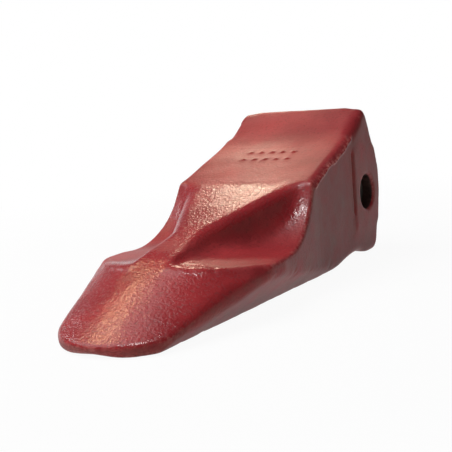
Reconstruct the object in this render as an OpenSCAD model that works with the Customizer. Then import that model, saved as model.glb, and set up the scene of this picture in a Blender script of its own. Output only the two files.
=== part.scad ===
// Excavator bucket tooth: a cast point with twin side scoops and a tapered socket,
// held on its adapter by a cross pin, a split spring ring and the ring's rubber jacket.
// Frame in millimetres: X across (pin axis), Y along (tip at -Y, socket mouth at +Y), Z up.
// The tooth lies on its flat underside at Z = 0, centred on the origin.

/* [Point] */
// Length over all, tip to the rear of the ears
tooth_len = 316; // [250:1:380]
// Width of the socket box
box_w = 108; // [90:1:130]
// Height at the rear edge of the deck
tooth_h = 116; // [100:1:140]
// How far the ears reach behind the rear edge of the deck
ear_reach = 24; // [12:1:32]
// Height of the rearmost point of the ears
ear_apex_z = 60; // [45:1:75]
// How far the lower rear corner reaches behind the rear edge of the deck
heel_reach = 17; // [8:1:20]
// Length of the raised flare at the rear of the deck
flare_len = 31; // [20:1:40]
// Height of the deck at the front of the flare
flare_foot_z = 95; // [85:1:105]
// Length over which the flare runs out into the deck
flare_run = 16; // [5:1:20]
// Distance of the deck's second point from its rear edge
deck_mid_d = 112; // [90:1:130]
// Height of the deck's second point
deck_mid_z = 69; // [60:1:78]

/* [Spade] */
// How far each shoulder of the spade stands out beyond the socket box
spade_flare = 11.5; // [4:0.5:20]
// Distance of the shoulders from the rear edge of the deck
shoulder_d = 184; // [160:1:200]
// How far the sides have spread at the waist
waist_flare = 1; // [0:0.5:5]
// Distance where the sides begin to spread
waist_d = 96; // [70:1:120]
// Length over which each shoulder rounds into the spade edge
run_in = 16; // [8:1:24]
// Half angle between the two converging spade edges
spade_angle = 15.5; // [10:0.5:25]
// Distance of the spade's knee from the rear edge of the deck
knee_d = 224; // [210:1:240]
// Height of the spade at its knee
knee_z = 40; // [34:1:46]
// Thickness of the digging edge
tip_t = 7; // [5:0.5:14]
// Bevel under the digging edge
tip_bevel = 5; // [0:0.5:6]
// Radius of the crown across the spade
crown_r = 100; // [85:1:140]
// Rake of the undercut below the spade wings
undercut_angle = 47; // [35:1:60]
// How far the undercut comes in from the socket box at its heel end
undercut_inset = 2; // [0:0.5:8]
// Distance of the heel end of the undercut from the rear edge of the deck
undercut_rear_d = 48; // [30:1:80]
// Half width of the underside near the tip
undercut_front_half = 35; // [28:1:40]
// Distance of that front point from the rear edge of the deck
undercut_front_d = 273; // [250:1:280]

/* [Scoops] */
// Radius of the round rear wall of each scoop
scoop_r = 60; // [45:1:75]
// Distance of that round wall's axis from the rear edge of the deck
scoop_d = 161; // [150:1:175]
// Height of the scoop floor, run on to the centre line
scoop_floor_z = 38; // [36:0.5:46]
// Fall of the scoop floor towards the side
scoop_tilt = 6; // [4:0.5:16]
// Rise of the flat front floor above the lowest line of the round wall
scoop_step = 0.8; // [0.4:0.1:2]
// Half width of the rib between the scoops, where its walls start
rib_half = 44.5; // [35:0.5:53]
// Distance of that start from the rear edge of the deck
rib_d = 104; // [90:1:115]
// Angle by which each rib wall closes in towards the tip
rib_yaw = 26.5; // [15:0.5:35]
// Half width of the rib's neck at the height where its walls start
neck_half = 6; // [3:0.5:15]
// Distance of the neck from the rear edge of the deck
neck_d = 190; // [170:1:210]
// Angle by which the neck closes in towards the tip
neck_yaw = 4; // [0:0.5:10]
// Height at which the rib's half widths are taken
rib_z = 72; // [60:1:80]
// Draft of the rib and neck walls
rib_draft = 15; // [5:0.5:30]

/* [Socket] */
// Thickness of each ear, beside the socket mouth
ear_wall = 16; // [12:0.5:22]
// How much each socket side closes in towards its front end
nose_draft = 6; // [2:0.5:12]
// Length of the parallel stretch behind that taper
mouth_straight = 40; // [20:1:60]
// Depth of the socket from the rear edge of the deck
socket_depth = 105; // [85:1:110]
// Height of the socket floor at the mouth
mouth_floor_z = 12; // [10:1:20]
// Height of the socket floor at its front end
nose_floor_z = 24; // [18:1:30]
// Height of the socket roof at the rear edge of the deck
mouth_roof_z = 92; // [84:1:98]
// Height of the socket roof at its front end
nose_roof_z = 55; // [48:1:58]
// Rise of the underside arch near the heel
arch_rise = 5; // [0:0.5:8]
// Length of the underside arch
arch_len = 76; // [50:1:90]

/* [Pin and retainer] */
// Diameter of the pin
pin_d = 25.5; // [20:0.5:32]
// Gap between the pin and its bore, on the radius
pin_gap = 0.5; // [0.2:0.1:1]
// Distance of the pin behind the rear edge of the deck (negative is ahead of it)
pin_back = -4; // [-10:0.5:4]
// Height of the pin
pin_z = 49; // [44:0.5:56]
// How far the struck end of the pin sits below its ear face
pin_recess = 8; // [2:0.5:10]
// How far the locked end of the pin sits below its ear face
lock_recess = 4.5; // [2:0.5:8]
// Chamfer at each pin end
pin_chamfer = 2.5; // [1:0.5:4]
// Raised height of the ear pads
pad_t = 1.2; // [0:0.1:3]
// Length of the ear pads ahead of the rear edge of the deck
pad_len = 28.5; // [20:0.5:36]
// Height of the ear pad's lower edge
pad_low_z = 22; // [10:1:30]
// Height of the ear pad's upper edge
pad_high_z = 84; // [70:1:96]
// Depth of the retainer groove in the pin
groove_depth = 1.8; // [1:0.1:3]
// Width of the split spring ring
ring_w = 6; // [4:0.5:8]
// Radial thickness of the split spring ring
ring_t = 2.5; // [1.5:0.1:4]
// Opening of the split in the spring ring
ring_split = 5; // [3:0.5:10]
// Radial thickness of the rubber jacket
jacket_t = 5; // [3:0.5:8]
// Side play of the retainer in the pin's groove and in its seat
side_play = 0.4; // [0.2:0.1:1]
// Gap between the ring and the floor of the groove
ring_gap = 0.3; // [0.2:0.1:0.6]
// Bond line between the ring and its jacket
bond_line = 0.05; // [0.02:0.01:0.1]
// Gap round the jacket in its seat
seat_gap = 0.25; // [0.1:0.05:0.6]

/* [Casting marks] */
// Diameter of the cast pips on the deck
pip_d = 4; // [2:0.5:6]
// Height of the cast pips
pip_h = 0.9; // [0.4:0.1:2]
// Spacing of the cast pips along a row
pip_pitch = 9; // [6:0.5:14]
// Spacing of the two rows
pip_row_pitch = 12; // [8:0.5:16]
// Pips in each row
pip_count = 5; // [1:1:8]
// Distance of the rear row from the rear edge of the deck
pip_d0 = 56; // [40:1:70]

/* [Hidden] */
$fn = 96;
far = 400;
deck_rear_y = tooth_len / 2 - ear_reach;
tip_y = -tooth_len / 2;
box_half = box_w / 2;
waist_half = box_half + waist_flare;
spade_half = box_half + spade_flare;
mouth_half = box_half - ear_wall;
nose_half = mouth_half - nose_draft;
shoulder_y = deck_rear_y - shoulder_d;
waist_y = deck_rear_y - waist_d;
// circle tangent to both spade edges whose front touches the tip
tip_r = (spade_half * cos(spade_angle) - (tip_y - shoulder_y) * -sin(spade_angle)) / (1 - sin(spade_angle));
tip_c_y = tip_y + tip_r;
// an odd number, so that no corner of the tip falls on the centre line
tip_steps = 25;
// line of the spade's crown from the knee to the digging edge
knee_y = deck_rear_y - knee_d;
spade_slope = atan2(knee_z - tip_t, knee_y - tip_y);
scoop_y = deck_rear_y - scoop_d;
// line of the undercut
undercut_rear_half = box_half - undercut_inset;
undercut_rear_y = deck_rear_y - undercut_rear_d;
undercut_front_y = deck_rear_y - undercut_front_d;
undercut_yaw = atan2(undercut_rear_half - undercut_front_half, undercut_rear_y - undercut_front_y);
// pin and retainer
pin_y = deck_rear_y + pin_back;
bore_d = pin_d + 2 * pin_gap;
ear_face_x = box_half + pad_t;
pin_struck_x = ear_face_x - pin_recess;
pin_locked_x = -ear_face_x + lock_recess;
groove_r = pin_d / 2 - groove_depth;
groove_w = ring_w + 2 * side_play;
ring_x = -mouth_half - side_play - ring_w / 2;
ring_in_r = groove_r + ring_gap;
ring_out_r = ring_in_r + ring_t;
jacket_in_r = ring_out_r + bond_line;
jacket_out_r = jacket_in_r + jacket_t;
seat_r = jacket_out_r + seat_gap;
// slope of the deck between the flare and its second point
deck_slope = atan2(flare_foot_z - deck_mid_z, deck_mid_d - flare_len);
// curve of the flare: it leaves the rear edge's slope and runs out along the deck
flare_steps = 6;
flare_top = [deck_rear_y - 0.4 * flare_len, tooth_h - 0.4 * (tooth_h - flare_foot_z)];
flare_foot = [deck_rear_y - flare_len, flare_foot_z];
flare_end = [deck_rear_y - flare_len - flare_run, flare_foot_z - flare_run * tan(deck_slope)];
function flare_point(t) = (1 - t) * (1 - t) * flare_top + 2 * t * (1 - t) * flare_foot + t * t * flare_end;

module along_x(length, r) {
    rotate([0, 90, 0]) cylinder(h = length, r = r, center = true);
}

module side_prism(width) {
    rotate([90, 0, 90]) linear_extrude(height = width, center = true) children();
}

module side_outline() {
    polygon([
        [tip_y + tip_bevel, 0],
        [deck_rear_y - arch_len, 0],
        [deck_rear_y - arch_len / 2, arch_rise],
        [deck_rear_y - arch_len / 4, arch_rise],
        [deck_rear_y - 6, 0],
        [deck_rear_y + heel_reach - 6, 0],
        [deck_rear_y + heel_reach, 6],
        [deck_rear_y + ear_reach, ear_apex_z - 10],
        [deck_rear_y + ear_reach, ear_apex_z + 4],
        [deck_rear_y + 9, tooth_h - 9],
        [deck_rear_y + 6, tooth_h - 2],
        [deck_rear_y + 3, tooth_h],
        for (t = [0 : 1 / flare_steps : 1]) flare_point(t),
        [deck_rear_y - deck_mid_d, deck_mid_z],
        [knee_y, knee_z],
        [tip_y, tip_t],
        [tip_y, tip_bevel * 0.7]
    ]);
}

module plan_outline() {
    rear_y = deck_rear_y + ear_reach;
    polygon([
        [-box_half, rear_y],
        [box_half, rear_y],
        [box_half, waist_y + 50],
        [waist_half, waist_y],
        [spade_half - 3, shoulder_y + 20],
        [spade_half - 0.5, shoulder_y + 8],
        [spade_half - 1.2, shoulder_y - 4],
        [spade_half - run_in * tan(spade_angle), shoulder_y - run_in],
        for (a = [spade_angle : (180 - 2 * spade_angle) / tip_steps : 180 - spade_angle + 0.01])
            [tip_r * cos(a), tip_c_y - tip_r * sin(a)],
        [-spade_half + run_in * tan(spade_angle), shoulder_y - run_in],
        [-spade_half + 1.2, shoulder_y - 4],
        [-spade_half + 0.5, shoulder_y + 8],
        [-spade_half + 3, shoulder_y + 20],
        [-waist_half, waist_y],
        [-box_half, waist_y + 50]
    ]);
}

module above_crown() {
    difference() {
        translate([-2 * spade_half, tip_y - 10, -5])
            cube([4 * spade_half, scoop_y - tip_y + 10, tooth_h]);
        translate([0, knee_y, knee_z])
            rotate([spade_slope, 0, 0])
                translate([0, 0, -crown_r])
                    rotate([90, 0, 0]) cylinder(h = far, r = crown_r, center = true);
    }
}

module undercut() {
    translate([undercut_rear_half, undercut_rear_y, 0])
        rotate([0, 0, -undercut_yaw])
            rotate([0, -undercut_angle, 0])
                translate([0, -far, -far / 2]) cube([far / 2, 2 * far, far / 2]);
}

module outside_wall(half, d, yaw) {
    translate([half, deck_rear_y - d, rib_z])
        rotate([0, 0, -yaw])
            rotate([0, -rib_draft, 0])
                translate([0, -far / 2, -far / 2]) cube([far / 2, far, far]);
}

module scoop_blank() {
    translate([0, scoop_y, scoop_floor_z]) rotate([0, scoop_tilt, 0]) {
        translate([0, 0, scoop_r]) along_x(far, scoop_r);
        translate([-far / 2, -far / 2, scoop_step]) cube([far, far / 2, 2 * scoop_r]);
    }
}

module scoop() {
    intersection() {
        scoop_blank();
        outside_wall(rib_half, rib_d, rib_yaw);
        outside_wall(neck_half, neck_d, neck_yaw);
    }
}

module socket() {
    front_y = deck_rear_y - socket_depth;
    open_y = deck_rear_y + ear_reach + 10;
    rise = (mouth_roof_z - nose_roof_z) / socket_depth;
    fall = (nose_floor_z - mouth_floor_z) / socket_depth;
    over = open_y - deck_rear_y;
    intersection() {
        side_prism(box_w) polygon([
            [open_y, mouth_floor_z - over * fall],
            [open_y, mouth_roof_z + over * rise],
            [front_y, nose_roof_z],
            [front_y, nose_floor_z]
        ]);
        translate([0, 0, -10]) linear_extrude(height = far) polygon([
            [-mouth_half, open_y],
            [mouth_half, open_y],
            [mouth_half, deck_rear_y - mouth_straight],
            [nose_half, front_y],
            [-nose_half, front_y],
            [-mouth_half, deck_rear_y - mouth_straight]
        ]);
    }
}

module ear_pad() {
    intersection() {
        side_prism(2 * ear_face_x) side_outline();
        translate([box_half - 1, deck_rear_y - pad_len, pad_low_z])
            cube([pad_t + 1, pad_len + ear_reach + 10, pad_high_z - pad_low_z]);
    }
}

module pips() {
    for (row = [0, 1], column = [0 : pip_count - 1]) {
        d = pip_d0 + row * pip_row_pitch;
        translate([
            (column - (pip_count - 1) / 2) * pip_pitch,
            deck_rear_y - d,
            flare_foot_z - (d - flare_len) * tan(deck_slope)
        ])
            rotate([deck_slope, 0, 0]) translate([0, 0, -1]) cylinder(h = pip_h + 1, d = pip_d);
    }
}

module tooth_point() {
    color([0.62, 0.16, 0.16]) difference() {
        union() {
            intersection() {
                side_prism(4 * spade_half) side_outline();
                linear_extrude(height = 2 * tooth_h) plan_outline();
            }
            ear_pad();
            mirror([1, 0, 0]) ear_pad();
            pips();
        }
        above_crown();
        undercut();
        mirror([1, 0, 0]) undercut();
        scoop();
        mirror([1, 0, 0]) scoop();
        socket();
        translate([0, pin_y, pin_z]) along_x(2 * far, bore_d / 2);
        translate([ring_x, pin_y, pin_z]) along_x(groove_w, seat_r);
    }
}

module retaining_pin() {
    color([0.45, 0.45, 0.47]) translate([0, pin_y, pin_z]) rotate([0, 90, 0])
        rotate_extrude() polygon([
            [0, pin_locked_x],
            [pin_d / 2 - pin_chamfer, pin_locked_x],
            [pin_d / 2, pin_locked_x + pin_chamfer],
            [pin_d / 2, ring_x - groove_w / 2],
            [groove_r, ring_x - groove_w / 2],
            [groove_r, ring_x + groove_w / 2],
            [pin_d / 2, ring_x + groove_w / 2],
            [pin_d / 2, pin_struck_x - pin_chamfer],
            [pin_d / 2 - pin_chamfer, pin_struck_x],
            [0, pin_struck_x]
        ]);
}

module retainer_ring() {
    color([0.30, 0.30, 0.33]) translate([ring_x, pin_y, pin_z]) difference() {
        along_x(ring_w, ring_out_r);
        along_x(2 * ring_w, ring_in_r);
        translate([-ring_w, -ring_split / 2, 0]) cube([2 * ring_w, ring_split, 2 * ring_out_r]);
    }
}

module retainer_jacket() {
    color([0.08, 0.08, 0.08]) translate([ring_x, pin_y, pin_z]) difference() {
        along_x(ring_w, jacket_out_r);
        along_x(2 * ring_w, jacket_in_r);
    }
}

tooth_point();
retaining_pin();
retainer_ring();
retainer_jacket();
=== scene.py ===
import math
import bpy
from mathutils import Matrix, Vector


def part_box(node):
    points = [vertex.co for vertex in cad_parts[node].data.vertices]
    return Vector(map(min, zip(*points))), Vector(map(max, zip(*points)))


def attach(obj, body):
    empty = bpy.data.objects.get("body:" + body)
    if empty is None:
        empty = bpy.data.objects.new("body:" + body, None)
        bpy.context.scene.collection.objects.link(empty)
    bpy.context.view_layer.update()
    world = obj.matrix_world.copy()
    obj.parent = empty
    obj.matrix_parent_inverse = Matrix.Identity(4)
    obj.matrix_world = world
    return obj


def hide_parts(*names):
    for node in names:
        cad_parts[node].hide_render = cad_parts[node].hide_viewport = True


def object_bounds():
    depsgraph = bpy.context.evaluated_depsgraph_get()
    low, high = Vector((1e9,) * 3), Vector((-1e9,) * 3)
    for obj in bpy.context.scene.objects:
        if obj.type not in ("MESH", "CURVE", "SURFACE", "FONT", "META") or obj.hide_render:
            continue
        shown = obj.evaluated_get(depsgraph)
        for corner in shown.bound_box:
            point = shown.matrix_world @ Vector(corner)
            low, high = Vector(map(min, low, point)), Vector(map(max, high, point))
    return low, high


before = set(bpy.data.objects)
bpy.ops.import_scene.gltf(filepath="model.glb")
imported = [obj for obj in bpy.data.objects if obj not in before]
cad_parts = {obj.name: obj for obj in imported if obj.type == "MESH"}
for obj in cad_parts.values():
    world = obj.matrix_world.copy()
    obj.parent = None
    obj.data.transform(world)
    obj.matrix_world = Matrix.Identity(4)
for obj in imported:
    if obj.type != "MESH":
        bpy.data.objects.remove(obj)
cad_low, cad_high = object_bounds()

from types import SimpleNamespace

import bpy
import numpy as np
import openvdb
from mathutils import Matrix, Vector

# Sizes of the object and the lamps' targets are in millimetres, the rest of the stage in metres.
MM = 0.001

# The casting is rounded on a grid of this pitch, which knows distances this far from the surface.
VOXEL = 0.8
BAND = 18.0
MARGIN = 12.0
ADAPTIVITY = 0.05

# Where the rear edge of the deck lies, and its profile: distance ahead of that edge and height.
EAR_REACH = 24.0
REAR_EDGE = cad_high[1] / MM - EAR_REACH
PROFILE_AHEAD = (0, 31, 112, 224, 292)
PROFILE_HEIGHT = (116, 95, 69, 40, 7)

# Radii of the inside corners: everywhere, and in the scoops.
FILLET = 4.0
SCOOP_FILLET = 13.0

# Radii of the outside edges: fine, usual and broad.
FINE_EDGE = 1.6
EDGE = 3.6
BROAD_EDGE = 8.0

# Zones of the casting. AHEAD is measured from the deck's rear edge, SIDE from the middle plane, HIGH from
# the ground and DEEP from the deck's profile down. Two numbers are where a zone fades in or out. Three
# are where it starts, where it ends, and how softly.
SCOOP_AHEAD = (104, 206, 14)
SCOOP_SIDE = (6, 18)
SCOOP_HIGH = (14, 26)
PAD_AHEAD = (36, 42)
PAD_SIDE = (51, 53)
PAD_HIGH = (26, 80, 6)
SOCKET_AHEAD = (100, 108)
SOCKET_SIDE = (40, 46)
SOCKET_HIGH = (6, 94, 4)
RIB_AHEAD = (118, 204, 14)
RIB_SIDE = (40, 50)
RIB_DEEP = (10, 20)
SPADE_FROM = (192, 208)
SPADE_TO = (216, 276)
SPADE_SIDE = (38, 48)
FLARE_AHEAD = (10, 26, 8)
FLARE_SIDE = (36, 46)
FLARE_DEEP = (10, 18)
CORNER_AHEAD = (8, 16)
CORNER_HIGH = (96, 112)
CORNER_SHARE = 0.5
CREST_AHEAD = (196, 232, 8)
CREST_SIDE = (11, 56, 6)
CREST_HIGH = (40, 46)
CREST_FRONT = (232, 246)
RIM_AHEAD = (108, 186, 8)
RIM_SIDE = (46, 54)
RIM_HIGH = (22, 30)
TIP_AHEAD = (246, 290)

# Where the spray doesn't reach: the socket's walls, and the bore to this distance round it, where the dark
# scale also paints shade.
BARE_AHEAD = (107, 112)
BARE_REAR = (-14, 4)
BARE_SIDE = (39, 42)
BARE_HIGH = (8, 11)
BARE_DEEP = (9, 12)
BARE_AND_SHADE_BORE = (0.1, 0.6)

# Where the deck bends into the rib, and how far the bend is eased.
KINK_AHEAD = 112.0
KINK_REACH = 8.0
KINK_SPAN = 3 * KINK_REACH
KINK_SIDE = (32, 42)
KINK_DEEP = (8, 14)
KINK_PASSES = 30

# Low lumps, as the sum of waves of these lengths.
LUMP = 0.05
LUMP_WAVES = 14
LUMP_SPAN = (12.0, 40.0)
LUMP_SEED = 7

# The mould line below each side edge of the deck, and its waves as height and pace.
MOULD_LINE = 1.2
MOULD_LINE_WIDTH = 1.2
MOULD_LINE_DEPTH = 4.5
MOULD_LINE_WAVES = ((0.8, 7.0), (0.5, 3.1))
MOULD_LINE_AHEAD = (30, 98, 8)
MOULD_LINE_SIDE = (46, 50)
MOULD_LINE_WEAR = 2.0

# The crease along the front edge of each ear pad.
PAD_FRONT = 28.5
CREASE = 1.3
CREASE_WIDTH = 1.1
CREASE_SIDE = (46, 50)
CREASE_HIGH = (38, 80, 5)

# The lip where the scoop's floor, as it falls to the side, meets the crown of the spade.
SCOOP_FLOOR = 38.8
SCOOP_FALL = 0.105
KNEE_AHEAD = 224.0
KNEE_HEIGHT = 40.0
SPADE_FALL = 0.485
CROWN_RADIUS = 100.0
CREST_LIP = 0.9
CREST_LIP_WIDTH = 2.0
CREST_LIP_FROM = (8, 13)
CREST_LIP_TO = (56, 64)

# The two rows of cast pips on the deck.
PIP_RADIUS = 2.2
PIP_HEIGHT = 1.1
PIP_ROOT = 4.0
PIP_PITCH = 9.0
PIP_ROW_PITCH = 12.0
PIP_COUNT = 5
PIP_FIRST_ROW = 56.0

# How deep the pin's struck end lies, and the clearance round the pin and its retainer.
PIN_RECESS = 8.0
PIN_GAP = 0.5
SEAT_GAP = 0.25
SIDE_PLAY = 0.4
BORE_CHAMFER = 0.5

# Reach, in grid steps, over which the sharpness of an edge is judged.
SHARP_REACH = 3

# Colours of the casting: paint, its pits, dust that also paints shade on the sides, rubbed edges that also
# paint highlights, and the scale on unpainted metal, which in the bore also paints shade.
RED_DARK = (0.28, 0.019, 0.024)
RED_LIGHT = (0.39, 0.032, 0.036)
RED_PIT = (0.13, 0.010, 0.012)
DUST_AND_SHADE_BROWN = (0.20, 0.095, 0.075)
RUBBED_AND_HIGHLIGHT_RED = (0.60, 0.21, 0.18)
SCALE_AND_SHADE_DARK = (0.035, 0.018, 0.016)
SCALE_AND_SHADE_LIGHT = (0.09, 0.045, 0.036)

# Colours of the pin and its retainer.
OXIDE_BLACK = (0.035, 0.033, 0.032)
OXIDE_BROWN = (0.085, 0.060, 0.045)
SPRING_BLUE = (0.16, 0.17, 0.20)
SPRING_GREY = (0.30, 0.29, 0.28)
RUBBER_BLACK = (0.018, 0.018, 0.018)
RUBBER_DUST = (0.06, 0.058, 0.055)

# The spray is glossy on the grain's tops, and dull on the sides, the deck and the scoop floors. The deck
# and the floors end over these stretches ahead, and the floors over this height.
TOP_ROUGHNESS = 0.14
PIT_ROUGHNESS = 0.32
SIDE_ROUGHNESS = 0.46
DULL_ROUGHNESS = 0.42
PAINT_SPECULAR = 0.18
DECK_AHEAD = (98.0, 118.0)
DECK_GRAIN = 0.35
DULL_AHEAD = (206.0, 214.0)
DULL_HIGH = (43.0, 50.0)

# The pale floor, the backdrop and the walls, which stand on the sides of a ring.
FLOOR_REACH = 8.0
FLOOR_GLOW = 0.94
FLOOR_COLOUR = 0.75
FLOOR_NEAR = 0.25
FLOOR_FAR = 0.6
WALLS = 8
BACKDROP_AWAY = 3.0
BACKDROP_HALF = 1.3
BACKDROP_HEIGHT = 0.9
LOW_WALL_HEIGHT = 0.45

# Light of the room, distance of the lamps from their targets, and their colours.
AMBIENT = 0.14
LAMP_AWAY = 1.2
WHITE = (1, 1, 1)
WARM = (1, 0.82, 0.6)
AMBER = (1, 0.66, 0.34)

# The photograph's camera: angles in degrees, distances in millimetres, the rest in pixels.
IMAGE = 452
FOCAL_PX = 877.2
SHIFT_X_PX = 0.97
SHIFT_Y_PX = -15.64
SENSOR = 36
AZIMUTH = 30.68
ELEVATION = 8.65
ROLL = -4.59
DISTANCE = 611.7
AIM_AHEAD = 154.0
AIM_HEIGHT = 55.0


def ramp(value, start, end):
    """0 up to start, 1 from end on, and smooth between."""
    t = np.clip((value - start) / (end - start), 0, 1)
    return t * t * (3 - 2 * t)


def fall(value, start, end):
    """1 up to start, 0 from end on, and smooth between."""
    return 1 - ramp(value, start, end)


def window(value, low, high, soft):
    """1 between low and high, falling to 0 over soft on each side."""
    return ramp(value, low - soft, low) * fall(value, high, high + soft)


def blend(base, target, mask):
    """The base where the mask is 0, and the target where it is 1."""
    return base + (target - base) * mask


def box_mm(node):
    """Lowest and highest corner of a CAD node, in millimetres."""
    low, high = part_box(node)
    return np.array(low) / MM, np.array(high) / MM


class Grid:
    """A block of sample points round the whole object, and its distance fields."""

    def __init__(self):
        low = np.array(cad_low) / MM - MARGIN
        high = np.array(cad_high) / MM + MARGIN
        self.first = np.floor(low / VOXEL).astype(int)
        self.shape = tuple(np.ceil(high / VOXEL).astype(int) - self.first)
        axes = [(self.first[i] + np.arange(self.shape[i])) * VOXEL for i in range(3)]
        self.x = axes[0].astype(np.float32)[:, None, None]
        self.y = axes[1].astype(np.float32)[None, :, None]
        self.z = axes[2].astype(np.float32)[None, None, :]
        self.side = np.abs(self.x)
        self.ahead = REAR_EDGE - self.y
        self.depth = np.interp(self.ahead, PROFILE_AHEAD, PROFILE_HEIGHT).astype(np.float32) - self.z

    def distance(self, points, triangles, quads):
        """Signed distance to a closed mesh, negative inside."""
        level_set = openvdb.FloatGrid.createLevelSetFromPolygons(
            points,
            triangles=triangles,
            quads=quads,
            transform=openvdb.createLinearTransform(VOXEL),
            halfWidth=BAND / VOXEL,
        )
        field = np.zeros(self.shape, np.float32)
        level_set.copyToArray(field, ijk=tuple(int(i) for i in self.first))
        return field

    def surface(self, field, adaptivity):
        """Points, triangles and quads of the field's zero surface."""
        volume = openvdb.FloatGrid(BAND)
        volume.copyFromArray(field, ijk=tuple(int(i) for i in self.first))
        volume.transform = openvdb.createLinearTransform(VOXEL)
        return volume.convertToPolygons(isovalue=0, adaptivity=adaptivity)

    def moved(self, field):
        """Signed distance to the field's zero surface."""
        points, triangles, quads = self.surface(softened(field), ADAPTIVITY)
        return self.distance(points, triangles if len(triangles) else None, quads)

    def filleted(self, field, radius):
        """A ball of this radius rolled along the inside corners."""
        return self.moved(field - radius) + radius

    def rounded(self, field, radius):
        """A ball of this radius rolled along the outside edges."""
        return self.moved(field + radius) - radius

    def sample(self, field, points):
        """The field at the grid point nearest each of the points."""
        index = np.rint(points / VOXEL).astype(int) - self.first
        index = np.clip(index, 0, np.array(self.shape) - 1)
        return field[index[:, 0], index[:, 1], index[:, 2]]


def places(points):
    """The same measures as a grid has, at points on the surface."""
    ahead = REAR_EDGE - points[:, 1]
    return SimpleNamespace(
        x=points[:, 0],
        y=points[:, 1],
        z=points[:, 2],
        side=np.abs(points[:, 0]),
        ahead=ahead,
        depth=np.interp(ahead, PROFILE_AHEAD, PROFILE_HEIGHT) - points[:, 2],
    )


def scoop_share(grid):
    """Where the broad fillet of the scoops belongs."""
    return window(grid.ahead, *SCOOP_AHEAD) * ramp(grid.side, *SCOOP_SIDE) * ramp(grid.z, *SCOOP_HIGH)


def ear_pads(grid):
    """The raised pads round the bore, with their front edges."""
    return fall(grid.ahead, *PAD_AHEAD) * ramp(grid.side, *PAD_SIDE) * window(grid.z, *PAD_HIGH)


def drawn_share(grid):
    """The socket and the ear pads, whose inside corners keep their drawn form."""
    socket = fall(grid.ahead, *SOCKET_AHEAD) * fall(grid.side, *SOCKET_SIDE) * window(grid.z, *SOCKET_HIGH)
    return np.maximum(socket, ear_pads(grid))


def broad_share(grid):
    """Where edges are broadly rolled: the rib, the spade's sides, the flare's sides and its corners."""
    rib = window(grid.ahead, *RIB_AHEAD) * fall(grid.side, *RIB_SIDE) * fall(grid.depth, *RIB_DEEP)
    spade = ramp(grid.ahead, *SPADE_FROM) * fall(grid.ahead, *SPADE_TO) * ramp(grid.side, *SPADE_SIDE)
    outside = ramp(grid.side, *FLARE_SIDE)
    flare = window(grid.ahead, *FLARE_AHEAD) * outside * fall(grid.depth, *FLARE_DEEP)
    corner = CORNER_SHARE * fall(grid.ahead, *CORNER_AHEAD) * ramp(grid.z, *CORNER_HIGH) * outside
    return np.maximum(np.maximum(rib, spade), np.maximum(flare, corner))


def fine_share(grid):
    """Where edges are left crisp: the scoop's crest and outer rim, the digging edge and the ear pads."""
    crest = window(grid.ahead, *CREST_AHEAD) * window(grid.side, *CREST_SIDE) * fall(grid.z, *CREST_HIGH)
    crest = crest * fall(grid.ahead + grid.side / 2, *CREST_FRONT)
    rim = window(grid.ahead, *RIM_AHEAD) * ramp(grid.side, *RIM_SIDE) * ramp(grid.z, *RIM_HIGH)
    tip = ramp(grid.ahead, *TIP_AHEAD)
    return np.maximum(np.maximum(crest, rim), np.maximum(tip, ear_pads(grid)))


def lumps(grid):
    """Low waves in all directions, as a sand mould leaves them."""
    chance = np.random.default_rng(LUMP_SEED)
    total = np.zeros(grid.shape, np.float32)
    for _ in range(LUMP_WAVES):
        direction = chance.normal(size=3)
        direction /= np.linalg.norm(direction)
        pace = 2 * math.pi / chance.uniform(*LUMP_SPAN) * direction
        phase = chance.uniform(0, 2 * math.pi)
        total += np.sin(pace[0] * grid.x + pace[1] * grid.y + pace[2] * grid.z + phase)
    return total * LUMP / math.sqrt(LUMP_WAVES / 2)


def mould_line(grid):
    """Height of the thin ridge below each side edge of the deck."""
    wander = sum(height * np.sin(grid.ahead / pace) for height, pace in MOULD_LINE_WAVES)
    across = (grid.depth - MOULD_LINE_DEPTH - wander) / MOULD_LINE_WIDTH
    along = window(grid.ahead, *MOULD_LINE_AHEAD) * ramp(grid.side, *MOULD_LINE_SIDE)
    return MOULD_LINE * np.exp(-across * across) * along


def pad_crease(grid):
    """Depth of the crease along the front edge of each ear pad."""
    across = (grid.ahead - PAD_FRONT - CREASE_WIDTH) / CREASE_WIDTH
    along = window(grid.z, *CREASE_HIGH) * ramp(grid.side, *CREASE_SIDE)
    return CREASE * np.exp(-across * across) * along


def crest_lip(grid):
    """Height of the rolled lip where the scoop's floor meets the spade."""
    over_floor = grid.z - SCOOP_FLOOR + SCOOP_FALL * grid.side
    drop = CROWN_RADIUS - np.sqrt(np.maximum(CROWN_RADIUS ** 2 - grid.x ** 2, 0))
    steep = math.hypot(1, SPADE_FALL)
    crown = KNEE_HEIGHT - SPADE_FALL * (grid.ahead - KNEE_AHEAD) - drop * steep
    over_crown = (grid.z - crown) / steep
    reach = (over_floor ** 2 + over_crown ** 2) / CREST_LIP_WIDTH ** 2
    return CREST_LIP * np.exp(-reach) * ramp(grid.side, *CREST_LIP_FROM) * fall(grid.side, *CREST_LIP_TO)


def pips(grid):
    """Distance to the two rows of round pips on the deck, near them."""
    result = np.full(grid.shape, BAND, np.float32)
    for ahead in (PIP_FIRST_ROW, PIP_FIRST_ROW + PIP_ROW_PITCH):
        for step in range(PIP_COUNT):
            x = (step - (PIP_COUNT - 1) / 2) * PIP_PITCH
            flat = np.sqrt((grid.x - x) ** 2 + (grid.ahead - ahead) ** 2)
            dome = PIP_HEIGHT * (1 - (flat / PIP_RADIUS) ** 2)
            pip = np.maximum(-grid.depth - dome, grid.depth - PIP_ROOT)
            result = np.minimum(result, np.where(flat < PIP_RADIUS, pip, BAND))
    return result


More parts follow.
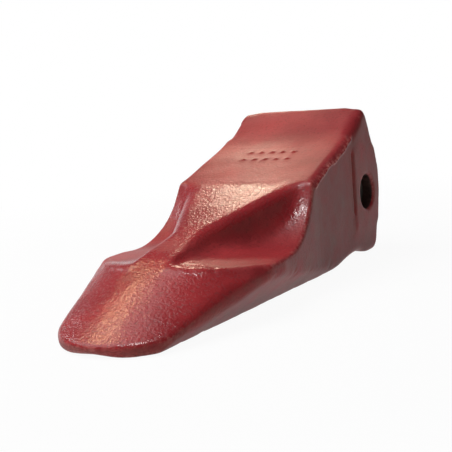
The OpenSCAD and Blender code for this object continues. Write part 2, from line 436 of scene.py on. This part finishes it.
def pin_bore(place):
    """Distance to the bore and to the retainer's seat round it, negative in the hole."""
    pin_low, pin_high = box_mm("retaining_pin")
    jacket_low, jacket_high = box_mm("retainer_jacket")
    centre = (pin_low + pin_high) / 2
    radial = np.sqrt((place.y - centre[1]) ** 2 + (place.z - centre[2]) ** 2)
    bore_radius = (pin_high[2] - pin_low[2]) / 2 + PIN_GAP
    ear_face = pin_high[0] + PIN_RECESS
    chamfer = np.maximum(place.side - ear_face + BORE_CHAMFER, 0)
    bore = radial - bore_radius - np.minimum(chamfer, BORE_CHAMFER)
    seat_radius = (jacket_high[2] - jacket_low[2]) / 2 + SEAT_GAP
    middle = (jacket_low[0] + jacket_high[0]) / 2
    half = (jacket_high[0] - jacket_low[0]) / 2 + SIDE_PLAY
    seat = np.maximum(radial - seat_radius, np.abs(place.x - middle) - half)
    return np.minimum(bore, seat)


def unsprayed_and_shaded(place):
    """1 on the walls of the socket and of the bore, which the spray doesn't reach; in the bore it also
    marks painted shade.
    """
    inside = fall(place.ahead, *BARE_AHEAD) * fall(place.side, *BARE_SIDE)
    walls = inside * ramp(place.z, *BARE_HIGH) * ramp(place.depth, *BARE_DEEP)
    return np.maximum(walls * ramp(place.ahead, *BARE_REAR), fall(pin_bore(place), *BARE_AND_SHADE_BORE))


def mesh_arrays(obj):
    """Vertices in millimetres and triangles of a CAD node."""
    mesh = obj.data
    mesh.calc_loop_triangles()
    points = np.zeros(len(mesh.vertices) * 3, np.float32)
    mesh.vertices.foreach_get("co", points)
    triangles = np.zeros(len(mesh.loop_triangles) * 3, np.int32)
    mesh.loop_triangles.foreach_get("vertices", triangles)
    return points.reshape(-1, 3) / MM, triangles.reshape(-1, 3)


def softened(field):
    """Each value averaged with its neighbours along the three axes."""
    for axis in range(3):
        near = np.roll(field, 1, axis) + np.roll(field, -1, axis)
        field = 0.5 * field + 0.25 * near
    return field


def without_kink(grid, field):
    """The field with the deck's shallow bend ahead of the pips eased into the rib."""
    span = np.flatnonzero(np.abs(grid.ahead.ravel() - KINK_AHEAD) < KINK_SPAN)
    slab = (slice(None), slice(span[0], span[-1] + 1), slice(None))
    eased = field[slab]
    for _ in range(KINK_PASSES):
        eased = softened(eased)
    near = np.exp(-((grid.ahead - KINK_AHEAD) / KINK_REACH) ** 2)
    mask = near * fall(grid.side, *KINK_SIDE) * fall(grid.depth, *KINK_DEEP)
    result = field.copy()
    result[slab] = blend(field[slab], eased, mask[slab])
    return result


def edge_sharpness(field):
    """How far the surface bends outwards, over a reach of a few millimetres."""
    total = -6 * field
    for axis in range(3):
        total = total + np.roll(field, SHARP_REACH, axis) + np.roll(field, -SHARP_REACH, axis)
    return total / (SHARP_REACH * VOXEL)


def point_values(mesh, name, values):
    """Stores one number for each point of the mesh, for its material to read."""
    stored = mesh.attributes.new(name, "FLOAT", "POINT")
    stored.data.foreach_set("value", values.astype(np.float32))


def cast_tooth():
    """The tooth's casting with rolled edges, filleted corners and foundry marks."""
    grid = Grid()
    points, triangles = mesh_arrays(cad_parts["tooth_point"])
    drawn = grid.distance(points, triangles, None)
    solid = blend(grid.filleted(drawn, FILLET), grid.filleted(drawn, SCOOP_FILLET), scoop_share(grid))
    solid = grid.moved(blend(solid, drawn, drawn_share(grid)))
    usual, fine, broad = (grid.rounded(solid, radius) for radius in (EDGE, FINE_EDGE, BROAD_EDGE))
    solid = blend(blend(usual, broad, broad_share(grid)), fine, fine_share(grid))
    solid = without_kink(grid, softened(solid))
    sharp = softened(edge_sharpness(solid))
    line = mould_line(grid)
    solid = solid + lumps(grid) + pad_crease(grid) - line - crest_lip(grid)
    solid = np.minimum(solid, pips(grid))
    solid = np.maximum(solid, -pin_bore(grid))
    points, triangles, quads = grid.surface(solid, 0)
    mesh = bpy.data.meshes.new("casting")
    mesh.from_pydata((points * MM).tolist(), [], triangles.tolist() + quads.tolist())
    mesh.validate()
    mesh.shade_smooth()
    # Sharp edges and the mould line, stored for the rubbed colour that also paints edge highlights.
    line_wear = MOULD_LINE_WEAR * grid.sample(line, points) / MOULD_LINE
    point_values(mesh, "wear_and_highlight", grid.sample(sharp, points) + line_wear)
    # The unpainted walls, for dark scale that in the bore also paints shade.
    point_values(mesh, "bare_and_shade", unsprayed_and_shaded(places(points)))
    obj = bpy.data.objects.new("casting", mesh)
    bpy.context.scene.collection.objects.link(obj)
    return obj


def material(name):
    """A new material, its node tree and its shader."""
    result = bpy.data.materials.new(name)
    result.use_nodes = True
    return result, result.node_tree, result.node_tree.nodes["Principled BSDF"]


def add(tree, kind, **values):
    """A new node with its input sockets set by name."""
    node = tree.nodes.new(kind)
    for name, value in values.items():
        node.inputs[name.replace("_", " ")].default_value = value
    return node


def coordinate(tree, kind):
    """The object's own place or direction of a surface point: Object or Normal."""
    return tree.nodes.new("ShaderNodeTexCoord").outputs[kind]


def split(tree, vector):
    """The X, Y and Z outputs of a vector."""
    node = tree.nodes.new("ShaderNodeSeparateXYZ")
    tree.links.new(vector, node.inputs["Vector"])
    return node.outputs


def noise(tree, size, detail):
    """Noise whose grains are about size millimetres across, on the object's own coordinates."""
    node = add(tree, "ShaderNodeTexNoise", Scale=1 / (size * MM), Detail=detail, Roughness=0.55)
    tree.links.new(coordinate(tree, "Object"), node.inputs["Vector"])
    return node.outputs["Fac"]


def remap(tree, value, low, high, to_low, to_high):
    """The value stretched so that low and high become to_low and to_high, and held beyond them."""
    node = add(tree, "ShaderNodeMapRange", From_Min=low, From_Max=high, To_Min=to_low, To_Max=to_high)
    tree.links.new(value, node.inputs["Value"])
    return node.outputs["Result"]


def behind(tree, y, start, end):
    """1 up to start millimetres ahead of the deck's rear edge, and 0 from end on."""
    return remap(tree, y, (REAR_EDGE - end) * MM, (REAR_EDGE - start) * MM, 0, 1)


def attribute(tree, name):
    """A value stored on the mesh's points."""
    node = tree.nodes.new("ShaderNodeAttribute")
    node.attribute_name = name
    return node.outputs["Fac"]


def calculated(tree, operation, a, b):
    """One arithmetic operation on two sockets."""
    node = tree.nodes.new("ShaderNodeMath")
    node.operation = operation
    tree.links.new(a, node.inputs[0])
    tree.links.new(b, node.inputs[1])
    return node.outputs["Value"]


def times(tree, a, b):
    """The product of two sockets."""
    return calculated(tree, "MULTIPLY", a, b)


def mix(tree, factor, a, b):
    """Colour a where factor is 0 and colour b where it is 1; each is a socket or a colour."""
    node = tree.nodes.new("ShaderNodeMix")
    node.data_type = "RGBA"
    tree.links.new(factor, node.inputs[0])
    for socket, colour in ((node.inputs[6], a), (node.inputs[7], b)):
        if isinstance(colour, tuple):
            socket.default_value = (*colour, 1)
        else:
            tree.links.new(colour, socket)
    return node.outputs[2]


def mottled(tree, pattern, low, high, dark, light):
    """Two colours by a pattern: dark up to low, light from high on."""
    return mix(tree, remap(tree, pattern, low, high, 0, 1), dark, light)


def lerp(tree, factor, a, b):
    """Socket a where factor is 0 and the number b where it is 1."""
    node = tree.nodes.new("ShaderNodeMix")
    tree.links.new(factor, node.inputs[0])
    tree.links.new(a, node.inputs[2])
    node.inputs[3].default_value = b
    return node.outputs[0]


def bumps(tree, shader, layers):
    """Stacks bump layers of (height socket, depth in millimetres, strength) on the shader."""
    normal = None
    for height, depth, strength in layers:
        node = add(tree, "ShaderNodeBump", Strength=strength, Distance=depth * MM)
        tree.links.new(height, node.inputs["Height"])
        if normal:
            tree.links.new(normal, node.inputs["Normal"])
        normal = node.outputs["Normal"]
    tree.links.new(normal, shader.inputs["Normal"])


def red_paint():
    """Sprayed red enamel over a grainy casting, rubbed pale with painted highlights on its edges, dusty
    with painted shade on its sides, and dark with painted shade in the bore.
    """
    result, tree, shader = material("red_paint")
    grain = noise(tree, size=1.8, detail=2)
    peel = noise(tree, size=5, detail=3)
    place = split(tree, coordinate(tree, "Object"))
    facing = split(tree, coordinate(tree, "Normal"))
    on_side = remap(tree, facing["Z"], 0.1, 0.45, 1, 0)
    on_deck = behind(tree, place["Y"], *DECK_AHEAD)
    low_down = remap(tree, place["Z"], DULL_HIGH[0] * MM, DULL_HIGH[1] * MM, 1, 0)
    on_scoop_floor = times(tree, behind(tree, place["Y"], *DULL_AHEAD), low_down)

    base = mottled(tree, noise(tree, size=38, detail=4), 0.35, 0.65, RED_DARK, RED_LIGHT)
    base = mix(tree, remap(tree, grain, 0.28, 0.45, 0.5, 0), base, RED_PIT)
    blotch = remap(tree, noise(tree, size=16, detail=6), 0.3, 0.7, 0.1, 0.6)
    # Dust brown on faces that don't look up, which also paints shade on the sides.
    base = mix(tree, times(tree, on_side, blotch), base, DUST_AND_SHADE_BROWN)
    # Pale rubbed colour on sharp edges and on the mould line; on the edges it also paints highlights.
    worn_and_highlit = remap(tree, attribute(tree, "wear_and_highlight"), 0.4, 1.2, 0, 1)
    broken = remap(tree, noise(tree, size=3, detail=5), 0.42, 0.6, 0, 0.75)
    base = mix(tree, times(tree, worn_and_highlit, broken), base, RUBBED_AND_HIGHLIGHT_RED)
    # Dark scale on the unpainted walls, which in the bore also paints shade.
    scale_and_shade = mottled(tree, peel, 0.35, 0.65, SCALE_AND_SHADE_DARK, SCALE_AND_SHADE_LIGHT)
    base = mix(tree, attribute(tree, "bare_and_shade"), base, scale_and_shade)
    tree.links.new(base, shader.inputs["Base Color"])

    rough = remap(tree, grain, 0.36, 0.62, PIT_ROUGHNESS, TOP_ROUGHNESS)
    rough = lerp(tree, on_deck, rough, DULL_ROUGHNESS)
    rough = lerp(tree, on_scoop_floor, rough, DULL_ROUGHNESS)
    rough = lerp(tree, on_side, rough, SIDE_ROUGHNESS)
    tree.links.new(rough, shader.inputs["Roughness"])
    shader.inputs["Specular IOR Level"].default_value = PAINT_SPECULAR
    grain_height = times(tree, grain, remap(tree, on_deck, 0, 1, 1, DECK_GRAIN))
    bumps(tree, shader, [(peel, 0.3, 0.4), (grain_height, 0.42, 0.75)])
    return result


def pin_steel():
    """Black-oxide forged steel with a dull brown bloom."""
    result, tree, shader = material("pin_steel")
    bloom = noise(tree, size=6, detail=5)
    tree.links.new(mottled(tree, bloom, 0.4, 0.65, OXIDE_BLACK, OXIDE_BROWN), shader.inputs["Base Color"])
    shader.inputs["Metallic"].default_value = 0.7
    tree.links.new(remap(tree, bloom, 0.3, 0.7, 0.38, 0.62), shader.inputs["Roughness"])
    bumps(tree, shader, [(noise(tree, size=0.8, detail=3), 0.1, 0.5)])
    return result


def spring_steel():
    """Blued spring steel with fine drawing marks."""
    result, tree, shader = material("spring_steel")
    tint = noise(tree, size=4, detail=4)
    tree.links.new(mottled(tree, tint, 0.35, 0.65, SPRING_BLUE, SPRING_GREY), shader.inputs["Base Color"])
    shader.inputs["Metallic"].default_value = 1
    tree.links.new(remap(tree, tint, 0.3, 0.7, 0.25, 0.4), shader.inputs["Roughness"])
    bumps(tree, shader, [(noise(tree, size=0.5, detail=2), 0.05, 0.4)])
    return result


def black_rubber():
    """Matt moulded rubber with a dusty bloom."""
    result, tree, shader = material("black_rubber")
    dust = noise(tree, size=3, detail=5)
    tree.links.new(mottled(tree, dust, 0.45, 0.7, RUBBER_BLACK, RUBBER_DUST), shader.inputs["Base Color"])
    tree.links.new(remap(tree, dust, 0.3, 0.7, 0.65, 0.85), shader.inputs["Roughness"])
    bumps(tree, shader, [(noise(tree, size=0.7, detail=3), 0.08, 0.5)])
    return result


def finish_node(node, paint):
    """Gives a CAD node that stays in view its material."""
    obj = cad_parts[node]
    if not obj.material_slots:
        obj.data.materials.append(paint)
    for slot in obj.material_slots:
        slot.link = "OBJECT"
        slot.material = paint


def seen_directly(tree):
    """1 for rays from the camera, off a gloss or through glass, and 0 for rays that light things."""
    path = tree.nodes.new("ShaderNodeLightPath")
    total = path.outputs["Is Camera Ray"]
    for name in ("Is Glossy Ray", "Is Transmission Ray"):
        total = calculated(tree, "MAXIMUM", total, path.outputs[name])
    return total


def stage_sheet(name, corners, near_glow):
    """A pale sheet that reads as white and keeps a soft shadow near the object."""
    mesh = bpy.data.meshes.new(name)
    mesh.from_pydata(corners, [], [(0, 1, 2, 3)])
    obj = bpy.data.objects.new(name, mesh)
    bpy.context.scene.collection.objects.link(obj)
    result, tree, shader = material(name)
    shader.inputs["Base Color"].default_value = (FLOOR_COLOUR, FLOOR_COLOUR, FLOOR_COLOUR, 1)
    shader.inputs["Roughness"].default_value = 0.9
    shader.inputs["Specular IOR Level"].default_value = 0
    glow = add(tree, "ShaderNodeEmission", Color=(1, 1, 1, 1), Strength=1)
    both = tree.nodes.new("ShaderNodeMixShader")
    away = tree.nodes.new("ShaderNodeVectorMath")
    away.operation = "LENGTH"
    tree.links.new(coordinate(tree, "Object"), away.inputs[0])
    glow_share = remap(tree, away.outputs["Value"], FLOOR_NEAR, FLOOR_FAR, near_glow, 1)
    tree.links.new(times(tree, seen_directly(tree), glow_share), both.inputs["Fac"])
    tree.links.new(shader.outputs["BSDF"], both.inputs[1])
    tree.links.new(glow.outputs["Emission"], both.inputs[2])
    tree.links.new(both.outputs["Shader"], tree.nodes["Material Output"].inputs["Surface"])
    mesh.materials.append(result)


def stage_sheets():
    """A floor all round, a backdrop across the photograph's view and low walls on the other sides."""
    r = FLOOR_REACH
    stage_sheet("floor", [(-r, -r, 0), (r, -r, 0), (r, r, 0), (-r, r, 0)], FLOOR_GLOW)
    for wall in range(WALLS):
        turn = Matrix.Rotation(math.radians(AZIMUTH) + wall * math.tau / WALLS, 3, "Z")
        height = LOW_WALL_HEIGHT if wall else BACKDROP_HEIGHT
        corners = []
        for across, up in ((-1, 0), (1, 0), (1, 1), (-1, 1)):
            corner = turn @ Vector((across * BACKDROP_HALF, BACKDROP_AWAY, up * height))
            corners.append(tuple(corner))
        stage_sheet("wall_%d" % wall if wall else "backdrop", corners, 1)


def studio_world():
    """A dim even room."""
    world = bpy.data.worlds.new("studio")
    world.use_nodes = True
    bpy.context.scene.world = world
    sky = world.node_tree.nodes["Background"]
    sky.inputs["Color"].default_value = (1, 1, 1, 1)
    sky.inputs["Strength"].default_value = AMBIENT


def area_lamp(name, target, direction, size, power, colour, gloss_only):
    """A square lamp aimed at a point in millimetres; one for gloss only adds no general light."""
    lamp = bpy.data.lights.new(name, "AREA")
    lamp.size = size
    lamp.energy = power
    lamp.color = colour
    obj = bpy.data.objects.new(name, lamp)
    bpy.context.scene.collection.objects.link(obj)
    away = Vector(direction).normalized()
    obj.location = Vector(target) * MM + away * LAMP_AWAY
    obj.rotation_euler = (-away).to_track_quat("-Z", "Y").to_euler()
    obj.visible_diffuse = not gloss_only


def lamps():
    """One broad key lamp, and small ones for the glints on the rib, the spade and in the scoops."""
    area_lamp(
        "key", target=(0, 0, 50), direction=(-0.45, -0.25, 0.86),
        size=1.1, power=17, colour=WHITE, gloss_only=False,
    )
    area_lamp(
        "on_rib", target=(8, 12, 66), direction=(-0.47, 0.725, 0.505),
        size=0.14, power=1.8, colour=WARM, gloss_only=True,
    )
    area_lamp(
        "on_spade", target=(4, -136, 17), direction=(-0.56, 0.24, 0.79),
        size=0.2, power=3.6, colour=AMBER, gloss_only=True,
    )
    area_lamp(
        "in_scoop", target=(51, 15, 50), direction=(0.02, -0.36, 0.93),
        size=0.1, power=13, colour=WHITE, gloss_only=True,
    )
    area_lamp(
        "on_left", target=(-53, 16, 51), direction=(-0.87, 0.12, 0.48),
        size=0.1, power=1.3, colour=WHITE, gloss_only=True,
    )


def photo_camera():
    """The camera that took the photograph, solved from points on the object's outline."""
    azimuth, elevation, roll = (math.radians(angle) for angle in (AZIMUTH, ELEVATION, ROLL))
    back = Vector((
        math.sin(azimuth) * math.cos(elevation),
        -math.cos(azimuth) * math.cos(elevation),
        math.sin(elevation),
    ))
    level = Vector((math.cos(azimuth), math.sin(azimuth), 0))
    upright = back.cross(level)
    right = level * math.cos(roll) + upright * math.sin(roll)
    up = upright * math.cos(roll) - level * math.sin(roll)
    aim = Vector((0, cad_high[1] - AIM_AHEAD * MM, cad_low[2] + AIM_HEIGHT * MM))
    data = bpy.data.cameras.new("photo")
    data.sensor_width = SENSOR
    data.lens = FOCAL_PX * SENSOR / IMAGE
    data.shift_x = -SHIFT_X_PX / IMAGE
    data.shift_y = SHIFT_Y_PX / IMAGE
    camera = bpy.data.objects.new("photo", data)
    bpy.context.scene.collection.objects.link(camera)
    matrix = Matrix((right, up, back)).transposed().to_4x4()
    matrix.translation = aim + back * DISTANCE * MM
    camera.matrix_world = matrix
    bpy.context.scene.camera = camera


casting = cast_tooth()
casting.data.materials.append(red_paint())
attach(casting, "point")
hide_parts("tooth_point")
finish_node("retaining_pin", pin_steel())
finish_node("retainer_ring", spring_steel())
finish_node("retainer_jacket", black_rubber())
stage_sheets()
studio_world()
lamps()
photo_camera()
bpy.context.scene.view_settings.view_transform = "Standard"
